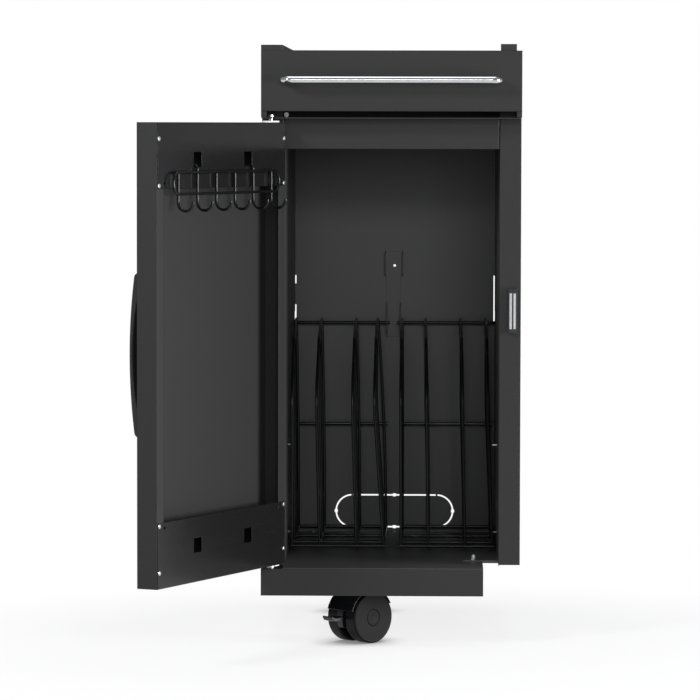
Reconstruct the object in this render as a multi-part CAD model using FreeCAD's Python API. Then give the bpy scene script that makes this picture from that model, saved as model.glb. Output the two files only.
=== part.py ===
import FreeCAD, Part
import math
import os
from FreeCAD import Vector

os.makedirs("parts", exist_ok=True)

# Narrow storage cart for an outdoor kitchen, in millimetres.
# X runs to the right, Y to the back and Z up. The origin is on the floor,
# under the middle of the cabinet's front face.

# Sheet and clearances
SHEET = 1.2
RUN = 0.05
GAP = 0.3

# Carcass
WIDTH = 400.0
BACK_Y = 560.0
WALL = 33.0
STILE_Y = 42.0
PLINTH_W = 343.0
PLINTH_LOW = 80.0
PLINTH_TOP = 121.3
RIGHT_LIFT = 2.9
FASCIA_TOP = 919.0
FASCIA_H = 93.0
DECK_DROP = 11.6
DECK_T = 2.0
DECK_SETBACK = 1.0
HEADER_H = 46.3
HEADER_END = 1.5
RAIL_RISE = 8.4
HEM = 12.0
POST = 8.0
TAB_W = 24.6
TAB_RISE = 10.0
TAB_H = 34.0

# Corner bracket under the right wall
NOTCH_Y = 105.0
BRACKET_X = 113.0
BRACKET_D = 40.0
BRACKET_BOLT_X = 129.0
BRACKET_BOLT_R = 4.5

# Holes for bolting the right wall to the next unit
JOIN_SPAN_Y = 400.0
JOIN_SPAN_Z = 600.0
JOIN_HOLE_R = 3.5

# Towel bar
BAR_SPAN = 330.0
BAR_DIA = 11.0
BAR_BEND = 12.0
BAR_OUT = 31.0
BAR_DROP = 45.5

# Door, drawn closed and then swung open
DOOR_OPEN = 115.5
DOOR_T = 33.2
DOOR_W = 399.5
DOOR_FOOT = 6.3
DOOR_HANG = 5.8
DOOR_FRONT = -0.5
LIP = 20.0
PIN_IN = 14.5
PIN_R = 3.0
PIN_HEAD_R = 4.5
BUSH_R = 5.0
BUSH_LEN = 14.0
WASHER_R = 13.0
WASHER_T = 2.5
BRACE_H = 97.0
BRACE_SLOT_W = 24.0
BRACE_SLOT_H = 22.0
BRACE_SLOT_APART = 157.0
BRACE_SLOT_DROP = 55.0
BRACE_HOLE_R = 2.5
RIVET_R = 3.4
RIVET_IN = 5.0
RIVET_NEAR = 24.0
RIVET_FAR = 92.5

# Door handle
HANDLE_LEN = 243.0
HANDLE_W = 22.0
HANDLE_RISE = 25.0
HANDLE_SHOULDER = 18.5
HANDLE_THICK = 9.0
HANDLE_SLIT = 150.0
HANDLE_IN = 34.0

# Tool rack on the door
HOOK_WIRE = 4.2
HOOK_COUNT = 6
HOOK_PITCH = 58.0
HOOK_R = 12.5
HOOK_TIP = 1.0
HOOK_DROP = 12.3
CROWN_BEND = 5.0
TOOL_LEN = 329.0
TOOL_H = 31.5
TOOL_OFF = 4.0
TOOL_DROP = 105.0
TOOL_TAIL = 9.0

# Hanging racks
FRAME_WIRE = 5.4
LOOP_WIRE = 4.6
RACK_W = 146.0
RACK_APART = 174.0
RACK_FRONT_Y = 232.0
RACK_BACK_GAP = 16.0
RACK_BASE_H = 10.5
RACK_HANG_H = 352.5
RACK_MID_H = 183.0
RACK_TOP_RISE = 8.5
LOOP_BEND = 12.0
LOOP_EDGE = 43.5
LEFT_LEANS = (4.0, 4.0, 5.0, 13.0)
RIGHT_LEANS = (5.0, 5.0, 6.0, 9.0)
BACK_LEAN = 4.0
BRACKET_LEAN = 1.0
CROSS_PITCH = 100.0
CROSS_COUNT = 2
INNER_LOOP_DROP = 22.5
WELD = 1.0
TONGUE = 9.0

# Hanger bracket and slots in the back wall
HANGER_X = -2.0
HANGER_W = 24.0
HANGER_TOP_W = 30.0
HANGER_FOOT = 24.5
HANGER_RISE = 76.5
HANGER_HEAD_H = 42.5
HANGER_ARM = 30.0
HANGER_HOLE_X = -0.5
HANGER_HOLE_DROP = 24.0
HANGER_HOLE_R = 2.2
HOOK_SEAT_DEPTH = 6.0
SLOT_W = 7.0
SLOT_X = 168.5
SLOT_RISE = 78.5
SLOT_TAB_RISE = 29.5
SLOT_TAB_H = 35.1
NOTCH_D = 20.0
NOTCH_REACH = 5.5
KNOCK_LEN = 195.5
KNOCK_H = 53.7
KNOCK_RISE = 35.0
KNOCK_CUT = 2.6
KNOCK_TAB = 3.0
SCREW_R = 3.6
SCREW_H = 2.0
SCREW_X = -135.0
PEG_R = 1.75
PEG_LEN = 7.5
PEG_Y = 246.0
PEG_LOW_H = 31.9
PEG_HIGH_H = 171.9

# Magnetic catch
CATCH_X = 187.3
CATCH_W = 13.8
CATCH_H = 69.0
CATCH_RISE = 50.4
STRIP_W = 3.6
STRIP_H = 55.0
STRIP_APART = 6.0

# Twin-wheel casters
CASTER_X = -29.5
CASTER_INSET = 92.0
FRONT_TURN = 46.4
REAR_TURN = 80.0
WHEEL_R = 40.0
WHEEL_W = 22.0
TWIN_W = 60.0
TRAIL = 26.0
WEB = 12.0
WEB_LOW = 14.0
HOOD_SLOPE = 24.0
HOOD_GAP = 2.2
HOOD_T = 2.2
AXLE_R = 4.0
KINGPIN_R = 5.0
KINGPIN_LOW = 78.0
BOSS_R = 16.0
PLATE = 62.0
PLATE_T = 3.0
PLATE_BOLT = 44.0
BOLT_HEAD_R = 5.5
BOLT_HEAD_H = 4.0
PEDAL_REACH = 70.0
PEDAL_W = 20.0
PEDAL_T = 4.0
PEDAL_Z = 45.0
PEDAL_PIVOT = 30.0
PEDAL_PIN_R = 2.0
PEDAL_HUB_R = 4.5
PEDAL_TONGUE = 6.0
HUB_R = 12.5

# Places that follow from the sizes above
HALF = WIDTH / 2
INNER = HALF - WALL
FLOOR_TOP = PLINTH_TOP + SHEET
WALL_LOW = PLINTH_TOP + RIGHT_LIFT
FASCIA_LOW = FASCIA_TOP - FASCIA_H
RAIL_TOP = FASCIA_TOP + RAIL_RISE
TAB_TOP = FASCIA_TOP + TAB_RISE
BAR_Z = FASCIA_TOP - BAR_DROP
DECK_Z = FASCIA_LOW - DECK_DROP
DECK_TOP = DECK_Z + DECK_T
JOIN_Z = (WALL_LOW + DECK_Z) / 2
DOOR_LOW = PLINTH_TOP + DOOR_FOOT
DOOR_TOP = DECK_Z - DOOR_HANG
DOOR_MIDDLE_Z = (DOOR_LOW + DOOR_TOP) / 2
DOOR_BACK = DOOR_FRONT + DOOR_T
CATCH_Z = DOOR_MIDDLE_Z + CATCH_RISE
PIN_X = -HALF + PIN_IN
PIN_Y = (DOOR_FRONT + DOOR_BACK) / 2
DOOR_X = -HALF
DOOR_FREE = DOOR_X + DOOR_W
DOOR_MIDDLE = DOOR_X + DOOR_W / 2
RACK_BACK_Y = BACK_Y - RACK_BACK_GAP
RACK_BASE_Z = FLOOR_TOP + RACK_BASE_H
RACK_HANG_Z = FLOOR_TOP + RACK_HANG_H
RACK_MID_Z = FLOOR_TOP + RACK_MID_H
SLOT_LOW = RACK_HANG_Z - FRAME_WIRE / 2 - GAP
SLOT_TOP = RACK_HANG_Z + SLOT_RISE
SLOT_TAB_LOW = RACK_HANG_Z + SLOT_TAB_RISE
SLOT_TAB_TOP = SLOT_TAB_LOW + SLOT_TAB_H
HANGER_LOW = RACK_HANG_Z - HANGER_FOOT
HANGER_STEP = RACK_HANG_Z + HANGER_RISE
HANGER_TOP = HANGER_STEP + HANGER_HEAD_H
KNOCK_Z = FLOOR_TOP + KNOCK_RISE
REAR_Y = BACK_Y - CASTER_INSET


def box(x0, x1, y0, y1, z0, z1):
    return Part.makeBox(x1 - x0, y1 - y0, z1 - z0, Vector(x0, y0, z0))


def cylinder(radius, start, end):
    axis = Vector(*end) - Vector(*start)
    return Part.makeCylinder(radius, axis.Length, Vector(*start), axis)


def prism_x(outline, x0, x1):
    """A solid with the (y, z) outline, from x0 to x1."""
    face = Part.Face(Part.makePolygon([Vector(x0, y, z) for y, z in outline + outline[:1]]))
    return face.extrude(Vector(x1 - x0, 0, 0))


def fused(shapes):
    return shapes[0].multiFuse(shapes[1:]).removeSplitter()


def rod(points, diameter, bend):
    """A round rod along straight runs, with each corner bent to the given radius."""
    corners = [Vector(*p) for p in points]
    edges = []
    start = corners[0]
    for before, corner, after in zip(corners, corners[1:], corners[2:]):
        back = (before - corner).normalize()
        ahead = (after - corner).normalize()
        half = back.getAngle(ahead) / 2
        reach = bend / math.tan(half)
        middle = (back + ahead).normalize() * (bend / math.sin(half) - bend)
        edges.append(Part.LineSegment(start, corner + back * reach).toShape())
        arc = Part.Arc(corner + back * reach, corner + middle, corner + ahead * reach)
        edges.append(arc.toShape())
        start = corner + ahead * reach
    edges.append(Part.LineSegment(start, corners[-1]).toShape())
    path = Part.Wire(edges)
    first = corners[1] - corners[0]
    ring = Part.Wire(Part.Circle(corners[0], first, diameter / 2).toShape())
    return path.makePipeShell([ring], True, False)


def mirrored(shape):
    return shape.mirror(Vector(0, 0, 0), Vector(1, 0, 0))


def swung_open(shape):
    """Turns a piece of the closed door to where the open door holds it."""
    turned = shape.copy()
    turned.rotate(Vector(PIN_X, PIN_Y, 0), Vector(0, 0, 1), -DOOR_OPEN)
    return turned


def write(name, shape):
    shape.exportStep("parts/" + name + ".step")


def base_plinth():
    """An upturned tray that stops short of the right side."""
    x1 = -HALF + PLINTH_W
    tray = box(-HALF, x1, 0, BACK_Y, PLINTH_LOW, PLINTH_TOP)
    hollow = box(-HALF + SHEET, x1 - SHEET, SHEET, BACK_Y - SHEET, PLINTH_LOW, PLINTH_TOP - SHEET)
    shelf = box(x1 - SHEET, HALF, NOTCH_Y, BACK_Y, PLINTH_TOP - SHEET, PLINTH_TOP)
    pin_hole = cylinder(PIN_R, (PIN_X, PIN_Y, PLINTH_LOW), (PIN_X, PIN_Y, PLINTH_TOP))
    return fused([tray.cut(hollow), shelf]).cut(pin_hole)


def floor_pan():
    """The cabinet's floor, cut back at the front right corner like the base below it."""
    full = box(-INNER, INNER + SHEET, 2 * SHEET, BACK_Y, PLINTH_TOP, FLOOR_TOP)
    notch = box(-HALF + PLINTH_W, HALF, 0, NOTCH_Y, PLINTH_TOP, FLOOR_TOP)
    return full.cut(notch)


def tongue_notch():
    """The room at the wall's back corner for the end of a rack's hanging wire."""
    return box(-SLOT_X - NOTCH_REACH, -INNER, BACK_Y - NOTCH_D, BACK_Y, SLOT_LOW - SLOT_W / 2,
               SLOT_TOP + SLOT_W / 2)


def side_skin(low):
    """The left wall's outer skin, with its front stile, foot flange and rear return."""
    outer = box(-HALF, -INNER, STILE_Y, BACK_Y, low, DECK_Z)
    hollow = box(-HALF + SHEET, -INNER, STILE_Y + SHEET, BACK_Y - SHEET, low + SHEET, DECK_Z)
    return outer.cut(hollow).cut(side_liner(low)).cut(tongue_notch())


def left_side_panel():
    return side_skin(PLINTH_TOP)


def right_side_panel():
    """The right wall ends higher than the left one and has the joining holes."""
    skin = mirrored(side_skin(WALL_LOW))
    middle_y = (STILE_Y + BACK_Y) / 2
    for side in (-1, 1):
        for level in (-1, 1):
            y = middle_y + side * JOIN_SPAN_Y / 2
            z = JOIN_Z + level * JOIN_SPAN_Z / 2
            skin = skin.cut(cylinder(JOIN_HOLE_R, (HALF - WALL, y, z), (HALF + WALL, y, z)))
    return skin


def side_liner(low):
    """The flat inner sheet of the left wall."""
    return box(-INNER - SHEET, -INNER, STILE_Y + SHEET, BACK_Y - SHEET, low, DECK_Z)


def left_side_liner():
    return side_liner(PLINTH_TOP).cut(tongue_notch())


def right_side_liner():
    """Stands on the floor pan and is notched over the corner bracket."""
    notch = box(INNER - GAP, INNER + 2 * SHEET, NOTCH_Y - GAP, NOTCH_Y + BRACKET_D + GAP,
                FLOOR_TOP, WALL_LOW + GAP)
    return mirrored(side_liner(FLOOR_TOP).cut(tongue_notch())).cut(notch)


def knock_out_ring(z):
    """The thin obround cut that lets a plate be pushed out of the back wall."""
    def obround(length, height):
        end = height / 2
        reach = length / 2 - end
        bar = box(-reach, reach, BACK_Y - SHEET, BACK_Y + 2 * SHEET, z - end, z + end)
        rounds = [
            cylinder(end, (x, BACK_Y - SHEET, z), (x, BACK_Y + 2 * SHEET, z))
            for x in (-reach, reach)
        ]
        return fused([bar] + rounds)

    outer = obround(KNOCK_LEN + KNOCK_CUT, KNOCK_H + KNOCK_CUT)
    ring = outer.cut(obround(KNOCK_LEN - KNOCK_CUT, KNOCK_H - KNOCK_CUT))
    nibs = []
    for x, dz in ((0, KNOCK_H / 2), (0, -KNOCK_H / 2), (KNOCK_LEN / 2, 0), (-KNOCK_LEN / 2, 0)):
        nibs.append(
            box(x - KNOCK_CUT, x + KNOCK_CUT, BACK_Y - SHEET, BACK_Y + 2 * SHEET,
                z + dz - KNOCK_CUT, z + dz + KNOCK_CUT))
    ring = fused([ring] + nibs)
    reach = (KNOCK_LEN - KNOCK_H) / 2
    for x in (-reach, reach):
        ring = ring.cut(
            box(x - KNOCK_TAB / 2, x + KNOCK_TAB / 2, BACK_Y - SHEET, BACK_Y + 2 * SHEET,
                z - KNOCK_H, z + KNOCK_H))
    return ring


def hanger_hole():
    """The round hole through the hanger bracket and the wall behind it."""
    z = HANGER_TOP - HANGER_HOLE_DROP
    return cylinder(HANGER_HOLE_R, (HANGER_HOLE_X, BACK_Y - 5, z), (HANGER_HOLE_X, BACK_Y + 5, z))


def back_panel():
    """One sheet from the base to the fascia's height, with slots for the racks."""
    sheet = box(-HALF + SHEET, HALF - SHEET, BACK_Y, BACK_Y + SHEET, PLINTH_TOP, FASCIA_TOP)
    sheet = sheet.cut(knock_out_ring(KNOCK_Z))
    sheet = sheet.cut(hanger_hole())
    x = SLOT_X
    right_slot = box(x - SLOT_W / 2, x + SLOT_W / 2, BACK_Y - 1, BACK_Y + 2, SLOT_LOW, SLOT_TOP)
    left_low = box(-x - SLOT_W / 2, -x + SLOT_W / 2, BACK_Y - 1, BACK_Y + 2, SLOT_LOW, SLOT_TAB_LOW)
    left_top = box(-x - SLOT_W / 2, -x + SLOT_W / 2, BACK_Y - 1, BACK_Y + 2, SLOT_TAB_TOP, SLOT_TOP)
    return sheet.cut(fused([right_slot, left_low, left_top]))


def deck():
    """The cabinet's top sheet. Its front edge carries the door's upper pin."""
    edge = HALF - 1.0
    sheet = box(-edge, edge, DECK_SETBACK, BACK_Y, DECK_Z, DECK_TOP)
    for x in (PIN_X, -PIN_X):
        sheet = sheet.cut(cylinder(PIN_R, (x, PIN_Y, DECK_Z), (x, PIN_Y, DECK_TOP)))
    return sheet


def header_panel():
    """The strip over the door opening, with a return along its lower edge."""
    low = DECK_Z - HEADER_H
    edge = INNER - HEADER_END
    face = box(-edge, edge, STILE_Y, STILE_Y + SHEET, low, DECK_Z)
    return fused([face, box(-edge, edge, STILE_Y, STILE_Y + HEM, low, low + SHEET)])


def top_wall(top, front):
    """A hollow wall over the left side, cut back under the fascia for the door's pin."""
    outline = [
        (front, FASCIA_LOW), (STILE_Y, FASCIA_LOW), (STILE_Y, DECK_TOP),
        (BACK_Y, DECK_TOP), (BACK_Y, top), (front, top),
    ]
    inside = [
        (front + SHEET, FASCIA_LOW + SHEET), (STILE_Y + SHEET, FASCIA_LOW + SHEET),
        (STILE_Y + SHEET, DECK_TOP), (BACK_Y - SHEET, DECK_TOP),
        (BACK_Y - SHEET, top - SHEET), (front + SHEET, top - SHEET),
    ]
    wall = prism_x(outline, -HALF, -INNER).cut(prism_x(inside, -HALF + SHEET, -INNER - SHEET))
    post = box(-HALF, -HALF + POST, front, front + SHEET, DECK_TOP, FASCIA_LOW)
    cheek = box(-HALF, -HALF + SHEET, front, STILE_Y, DECK_TOP, FASCIA_LOW)
    return fused([wall, post, cheek])


def left_top_wall():
    return top_wall(RAIL_TOP, SHEET)


def right_top_wall():
    return mirrored(top_wall(FASCIA_TOP, SHEET + DECK_T))


def joining_tab():
    """The short plate that stands up over the fascia's right end."""
    x0 = INNER
    return box(x0, x0 + TAB_W, SHEET, SHEET + DECK_T, TAB_TOP - TAB_H, TAB_TOP)


def fascia():
    """The front sheet over the door, with hems along its top and bottom."""
    edge = INNER - SHEET
    face = box(-HALF, HALF, 0, SHEET, FASCIA_LOW, FASCIA_TOP)
    top_hem = box(-edge, edge, 0, HEM, FASCIA_TOP - SHEET, FASCIA_TOP)
    low_hem = box(-edge, edge, 0, 2 * HEM, FASCIA_LOW, FASCIA_LOW + SHEET)
    return fused([face, top_hem, low_hem])


def towel_bar():
    """A round bar whose ends turn back and stand on the fascia."""
    x = BAR_SPAN / 2
    points = [(-x, 0, BAR_Z), (-x, -BAR_OUT, BAR_Z), (x, -BAR_OUT, BAR_Z), (x, 0, BAR_Z)]
    return rod(points, BAR_DIA, BAR_BEND)


def corner_bracket():
    """The plate on the floor pan that carries the foot of the right wall."""
    return box(BRACKET_X, HALF - 2 * SHEET, NOTCH_Y, NOTCH_Y + BRACKET_D, FLOOR_TOP, WALL_LOW)


def bracket_bolt():
    y = NOTCH_Y + BRACKET_D / 3
    head = cylinder(BRACKET_BOLT_R, (BRACKET_BOLT_X, y, WALL_LOW), (BRACKET_BOLT_X, y, WALL_LOW + 5))
    return head.makeFillet(1.2, [head.Edges[0]])


def screws():
    """Pan-head screws: two on the floor at the back, one beside the door's upper pin."""
    heads = []
    y = BACK_Y - 4 * SCREW_R
    for x in (SCREW_X, 0):
        heads.append(cylinder(SCREW_R, (x, y, FLOOR_TOP), (x, y, FLOOR_TOP + SCREW_H)))
    x = -INNER + SCREW_R + 1
    z = DECK_TOP + SCREW_R + 0.5
    heads.append(cylinder(SCREW_R, (x, STILE_Y - SCREW_H, z), (x, STILE_Y, z)))
    return Part.makeCompound(heads)


def recess_panel():
    """The upright sheet behind the slot between the fascia and the deck."""
    return box(-INNER, INNER, STILE_Y, STILE_Y + SHEET, DECK_TOP, FASCIA_LOW + HEM)


def rack_pegs():
    """Four short pins in the liners that keep the racks from lifting far."""
    pegs = []
    for side in (-1, 1):
        for z in (FLOOR_TOP + PEG_LOW_H, FLOOR_TOP + PEG_HIGH_H):
            pegs.append(cylinder(PEG_R, (side * INNER, PEG_Y, z), (side * (INNER - PEG_LEN), PEG_Y, z)))
    return Part.makeCompound(pegs)


def hanger_bracket():
    """A channel on the back wall whose two arms hold the racks' inner ends."""
    x = HANGER_X
    base = box(x - HANGER_W / 2, x + HANGER_W / 2, BACK_Y - SHEET, BACK_Y, HANGER_LOW, HANGER_TOP)
    head = box(x - HANGER_TOP_W / 2, x + HANGER_TOP_W / 2, BACK_Y - SHEET, BACK_Y,
               HANGER_STEP, HANGER_TOP)
    seat_z = RACK_HANG_Z - FRAME_WIRE / 2 - GAP
    wire_y = RACK_BACK_Y
    nose = wire_y - FRAME_WIRE / 2 - 3 * GAP
    inner = wire_y + FRAME_WIRE / 2 + GAP
    arm = [
        (BACK_Y - SHEET, HANGER_LOW), (BACK_Y - 9, HANGER_LOW), (nose - 3, seat_z - 8),
        (nose - 3, seat_z + HOOK_SEAT_DEPTH), (nose, seat_z + HOOK_SEAT_DEPTH), (nose, seat_z),
        (inner, seat_z), (inner, seat_z + HANGER_ARM), (BACK_Y - SHEET, seat_z + HANGER_ARM + 6),
    ]
    upper = [
        (BACK_Y - SHEET, HANGER_STEP), (BACK_Y - 12, HANGER_STEP + 5),
        (BACK_Y - 12, HANGER_TOP - 6), (BACK_Y - SHEET, HANGER_TOP),
    ]
    arms = []
    for side in (-1, 1):
        outer = x + side * HANGER_W / 2
        arms.append(prism_x(arm, min(outer, outer - side * SHEET), max(outer, outer - side * SHEET)))
        outer = x + side * HANGER_TOP_W / 2
        arms.append(prism_x(upper, min(outer, outer - side * SHEET), max(outer, outer - side * SHEET)))
    return fused([base, head] + arms).cut(hanger_hole())


def magnet_case():
    """The catch's black case, with two pockets for its pole strips."""
    case = box(CATCH_X - CATCH_W / 2, CATCH_X + CATCH_W / 2, DOOR_BACK + GAP, STILE_Y,
               CATCH_Z - CATCH_H / 2, CATCH_Z + CATCH_H / 2)
    return case.cut(magnet_strips())


def magnet_strips():
    strips = []
    for side in (-1, 1):
        x = CATCH_X + side * STRIP_APART / 2
        strips.append(
            box(x - STRIP_W / 2, x + STRIP_W / 2, DOOR_BACK + GAP, STILE_Y - 1,
                CATCH_Z - STRIP_H / 2, CATCH_Z + STRIP_H / 2))
    return Part.makeCompound(strips)


def hinge_pins():
    """The upper pin hangs through the deck; the lower one stands on the base."""
    top_end = DOOR_TOP - BUSH_LEN + 1
    top = cylinder(PIN_R, (PIN_X, PIN_Y, top_end), (PIN_X, PIN_Y, DECK_TOP))
    head = cylinder(PIN_HEAD_R, (PIN_X, PIN_Y, DECK_TOP), (PIN_X, PIN_Y, DECK_TOP + 4))
    low_end = DOOR_LOW + BUSH_LEN - 1
    low = cylinder(PIN_R, (PIN_X, PIN_Y, PLINTH_TOP - SHEET), (PIN_X, PIN_Y, low_end))
    collar_top = DOOR_LOW - WASHER_T - GAP
    collar = cylinder(2 * PIN_R, (PIN_X, PIN_Y, PLINTH_TOP), (PIN_X, PIN_Y, collar_top))
    return Part.makeCompound([fused([top, head]), fused([low, collar])])


def door_panel():
    """The door's skin with its four edges and lips folded in one sheet."""
    x0, x1 = DOOR_X, DOOR_FREE
    outer = box(x0, x1, DOOR_FRONT, DOOR_BACK, DOOR_LOW, DOOR_TOP)
    hollow = box(x0 + SHEET, x1 - SHEET, DOOR_FRONT + SHEET, DOOR_BACK - SHEET,
                 DOOR_LOW + SHEET, DOOR_TOP - SHEET)
    mouth = box(x0 + LIP, x1 - LIP, DOOR_BACK - SHEET, DOOR_BACK, DOOR_LOW + LIP, DOOR_TOP - LIP)
    panel = outer.cut(hollow).cut(mouth)
    return panel.cut(cylinder(BUSH_R, (PIN_X, PIN_Y, DOOR_LOW), (PIN_X, PIN_Y, DOOR_TOP)))


def door_bushes():
    """Flanged nylon bushes in the door's top and bottom edges."""
    bushes = []
    for edge, inward in ((DOOR_TOP, -1), (DOOR_LOW, 1)):
        washer = cylinder(WASHER_R, (PIN_X, PIN_Y, edge), (PIN_X, PIN_Y, edge - inward * WASHER_T))
        sleeve = cylinder(BUSH_R, (PIN_X, PIN_Y, edge), (PIN_X, PIN_Y, edge + inward * BUSH_LEN))
        bore = cylinder(PIN_R + RUN, (PIN_X, PIN_Y, edge - inward * WASHER_T),
                        (PIN_X, PIN_Y, edge + inward * BUSH_LEN))
        bushes.append(fused([washer, sleeve]).cut(bore))
    return Part.makeCompound(bushes)


def brace(outer_z, inward):
    """A plate across the door's lips, with two slots that can take the tool rack."""
    low, high = sorted((outer_z + inward * SHEET, outer_z + inward * BRACE_H))
    plate = box(DOOR_X + SHEET, DOOR_FREE - SHEET, DOOR_BACK, DOOR_BACK + SHEET, low, high)
    slot_z = outer_z + inward * BRACE_SLOT_DROP
    for side in (-1, 1):
        x = DOOR_MIDDLE + side * BRACE_SLOT_APART / 2
        plate = plate.cut(
            box(x - BRACE_SLOT_W / 2, x + BRACE_SLOT_W / 2, DOOR_BACK, DOOR_BACK + SHEET,
                slot_z - BRACE_SLOT_H / 2, slot_z + BRACE_SLOT_H / 2))
        x = DOOR_MIDDLE + side * (DOOR_W / 2 - LIP - SHEET)
        z = outer_z + inward * (RIVET_FAR - RIVET_R)
        plate = plate.cut(cylinder(BRACE_HOLE_R, (x, DOOR_BACK, z), (x, DOOR_BACK + SHEET, z)))
    return plate


def door_top_brace():
    return brace(DOOR_TOP, -1)


def door_bottom_brace():
    return brace(DOOR_LOW, 1)


def door_rivets():
    """Eight domed rivets, one in each corner of each brace."""
    rivets = []
    for edge, inward in ((DOOR_TOP, -1), (DOOR_LOW, 1)):
        for drop in (RIVET_NEAR, RIVET_FAR):
            for x in (DOOR_X + RIVET_IN, DOOR_FREE - RIVET_IN):
                z = edge + inward * drop
                y = DOOR_BACK + SHEET
                head = cylinder(RIVET_R, (x, y, z), (x, y + 1.2, z))
                rivets.append(head.makeFillet(0.8, [head.Edges[0]]))
    return Part.makeCompound(rivets)


def door_handle():
    """A bow handle, drawn as its side outline and rounded along its edges."""
    end = HANDLE_LEN / 2
    slit = HANDLE_SLIT / 2
    face = DOOR_FRONT
    crest = face - HANDLE_RISE
    shoulder = face - HANDLE_SHOULDER
    x = DOOR_FREE - HANDLE_IN

    def at(depth, height):
        return Vector(x - HANDLE_W / 2, depth, DOOR_MIDDLE_Z + height)

    def arc(a, b, c):
        return Part.Arc(at(*a), at(*b), at(*c)).toShape()

    def line(a, b):
        return Part.LineSegment(at(*a), at(*b)).toShape()

    foot = (end + slit) / 2
    inner_crest = crest + HANDLE_THICK
    inner_end = shoulder + HANDLE_THICK
    outline = Part.Wire([
        arc((face, -end), (face - HANDLE_SHOULDER * 0.62, -end + 6), (shoulder, -end + 22)),
        arc((shoulder, -end + 22), (crest, 0), (shoulder, end - 22)),
        arc((shoulder, end - 22), (face - HANDLE_SHOULDER * 0.62, end - 6), (face, end)),
        line((face, end), (face, foot)),
        line((face, foot), (inner_end, slit)),
        arc((inner_end, slit), (inner_crest, 0), (inner_end, -slit)),
        line((inner_end, -slit), (face, -foot)),
        line((face, -foot), (face, -end)),
    ])
    bow = Part.Face(outline).extrude(Vector(HANDLE_W, 0, 0))
    sides = [e for e in bow.Edges if e.BoundBox.XLength < 0.01 and e.BoundBox.YMax < face - 0.5]
    return bow.makeFillet(2.5, sides)


def handle_screws():
    """Two screws through the door's skin into the handle's feet."""
    reach = (HANDLE_LEN + HANDLE_SLIT) / 4 + 4
    y = DOOR_FRONT + SHEET
    x = DOOR_FREE - HANDLE_IN
    heads = []
    for z in (DOOR_MIDDLE_Z - reach, DOOR_MIDDLE_Z + reach):
        heads.append(cylinder(SCREW_R, (x, y, z), (x, y + SCREW_H, z)))
    return Part.makeCompound(heads)


def tool_rack():
    """A long wire ring with six hooks; two of them rise and hang in the brace."""
    shank_y = DOOR_BACK + SHEET + TOOL_OFF
    ring_y = shank_y + HOOK_WIRE * 0.8
    high = DOOR_TOP - TOOL_DROP + TOOL_H
    low = high - TOOL_H
    end = TOOL_H / 2
    tip = DOOR_MIDDLE + TOOL_LEN / 2
    half_ring = rod([(DOOR_MIDDLE, ring_y, high), (tip, ring_y, high), (tip, ring_y, low),
                     (DOOR_MIDDLE, ring_y, low)], HOOK_WIRE, end - 0.1)
    wires = [half_ring, mirror_in(half_ring, DOOR_MIDDLE)]
    front_y = shank_y + 2 * HOOK_R
    bottom = low - HOOK_DROP - HOOK_R
    crown = DOOR_TOP - BRACE_SLOT_DROP - BRACE_SLOT_H / 2 + HOOK_WIRE / 2 + GAP
    tail_y = DOOR_BACK - TOOL_TAIL
    for index in range(HOOK_COUNT):
        x = DOOR_MIDDLE + (index - (HOOK_COUNT - 1) / 2) * HOOK_PITCH
        wires.append(rod([(x, shank_y, high), (x, shank_y, bottom), (x, front_y, bottom),
                          (x, front_y, bottom + HOOK_R + HOOK_TIP)], HOOK_WIRE, HOOK_R - 0.1))
        if index in (1, HOOK_COUNT - 2):
            wires.append(rod([(x, tail_y, crown - TOOL_TAIL), (x, tail_y, crown), (x, shank_y, crown),
                              (x, shank_y, high)], HOOK_WIRE, CROWN_BEND))
    return fused(wires)


def mirror_in(shape, x):
    return shape.mirror(Vector(x, 0, 0), Vector(1, 0, 0))


def wire_rack(side, leans):
    """A hung rack: four dividers, each a tall loop round a short one, on a wire frame.

    The loops lean to the left at their tops by the given amounts. The top back wire
    lies in the hanger bracket, and its outer end goes through the slot in the wall.
    """
    middle = side * RACK_APART / 2
    x0 = middle - RACK_W / 2
    x1 = middle + RACK_W / 2
    front, back, base = RACK_FRONT_Y, RACK_BACK_Y, RACK_BASE_Z
    behind = back - FRAME_WIRE / 2 - LOOP_WIRE / 2 + WELD
    crosses = [front + (index + 1) * CROSS_PITCH for index in range(CROSS_COUNT)]
    top = RACK_HANG_Z + RACK_TOP_RISE
    short_top = top - INNER_LOOP_DROP
    foot = base - FRAME_WIRE / 4
    wires = []
    for x, lean in zip((x0, x0 + LOOP_EDGE, x1 - LOOP_EDGE, x1), leans):
        back_lean = BRACKET_LEAN if side > 0 and x == x0 else BACK_LEAN
        wires.append(rod([(x, front, foot), (x - lean, front, top), (x - back_lean, behind, top),
                          (x, behind, foot)], LOOP_WIRE, LOOP_BEND))
        short_x = x - lean * (short_top - foot) / (top - foot)
        wires.append(rod([(x, crosses[0], foot), (short_x, crosses[0], short_top),
                          (short_x, crosses[-1], short_top), (x, crosses[-1], foot)],
                         LOOP_WIRE, LOOP_BEND))
        wires.append(cylinder(LOOP_WIRE / 2, (x, front, base), (x, back, base)))
    for y in (front, back):
        wires.append(cylinder(FRAME_WIRE / 2, (x0 - 3, y, base), (x1 + 3, y, base)))
    for y in crosses:
        z = base - FRAME_WIRE * 0.8
        wires.append(cylinder(FRAME_WIRE / 2, (x0, y, z), (x1, y, z)))
    wires.append(cylinder(FRAME_WIRE / 2, (x0 - 3, back, RACK_MID_Z), (x1 + 3, back, RACK_MID_Z)))
    outer = side * SLOT_X
    inner = HANGER_X + side * (HANGER_W / 2 - SHEET - 5)
    wires.append(rod([(inner, back, RACK_HANG_Z), (outer, back, RACK_HANG_Z),
                      (outer, BACK_Y + SHEET + TONGUE, RACK_HANG_Z)], FRAME_WIRE, 6.0))
    return fused(wires)


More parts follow.
